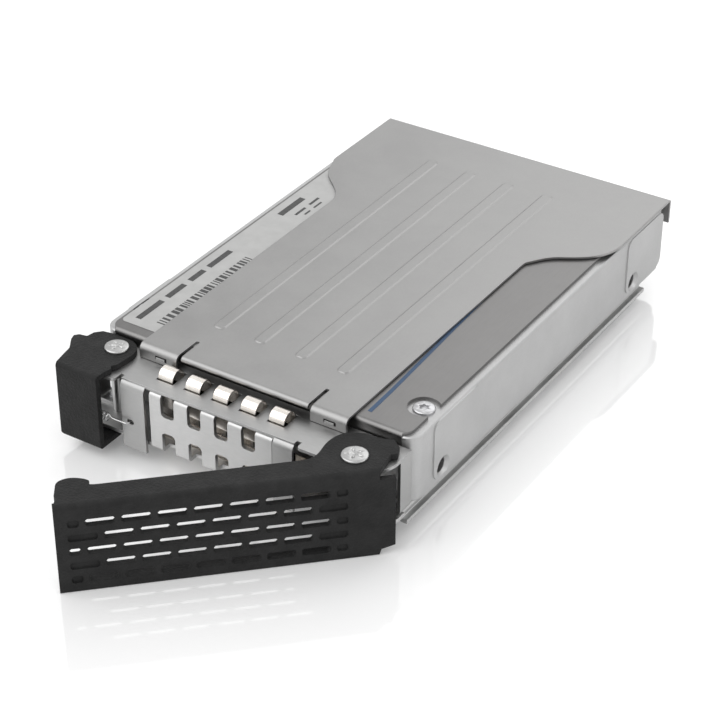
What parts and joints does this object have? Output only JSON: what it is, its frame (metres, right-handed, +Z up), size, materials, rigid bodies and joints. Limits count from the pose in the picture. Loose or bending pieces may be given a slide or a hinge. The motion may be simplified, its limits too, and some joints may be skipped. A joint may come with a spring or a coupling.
{
  "type": "removable drive rack",
  "caption": "Slide-in metal tray holding a small storage drive, with a ridged cover, sprung grounding fingers, a side latch and a vented swing handle.",
  "frame": {"origin": "on the underside of the raised tray floor, below the centre of the drive", "axes": "+X to the right seen from the handle end, +Y to the rear (the way the rack slides in), +Z up"},
  "size_m": [0.0738, 0.1507, 0.0206],
  "materials": {
    "tray_steel": "zinc-plated sheet, satin",
    "bracket_steel": "zinc-plated sheet, satin",
    "cover_steel": "fine matt satin sheet",
    "finger_steel": "bright spring steel strip",
    "spring_steel": "bright spring steel",
    "black_coat": "black textured powder coat",
    "pin_steel": "plated, satin",
    "spacer_steel": "turned, satin",
    "case_aluminium": "die-cast, bead blasted",
    "lid_aluminium": "brushed sheet",
    "label_film": "plain satin film",
    "screw_steel": "plated",
    "connector_plastic": "black moulding",
    "contact_gold": "gold-plated",
    "board_green": "solder mask"
  },
  "bodies": {
    "tray": {"base_tray": "tray_steel", "front_bracket": "bracket_steel", "top_cover": "cover_steel", "ground_fingers_top": "finger_steel", "ground_fingers_bottom": "finger_steel", "side_spring": "spring_steel", "latch_spring": "spring_steel", "latch_pin": "pin_steel", "handle_pin": "pin_steel", "latch_spacer": "spacer_steel", "handle_spacer": "spacer_steel", "drive_case": "case_aluminium", "drive_lid": "lid_aluminium", "drive_label": "label_film", "drive_lid_screws": "screw_steel", "drive_mounting_screws": "screw_steel", "bracket_rivets": "screw_steel", "drive_connector": "connector_plastic", "connector_contacts": "contact_gold", "drive_board": "board_green"},
    "handle": {"handle": "black_coat"},
    "latch": {"latch_body": "black_coat"}
  },
  "joints": [
    {"name": "handle_swing", "type": "hinge", "parent": "tray", "child": "handle", "pos_m": [0.0278, -0.059, 0], "axis": [0, 0, 1], "range_deg": [-43.9, 0]},
    {"name": "latch_swing", "type": "hinge", "parent": "tray", "child": "latch", "pos_m": [-0.0284, -0.0542, 0], "axis": [0, 0, 1], "range_deg": [-6, 0], "stiffness_Nm_per_rad": 0.05, "deforming": ["latch_spring"]}
  ]
}
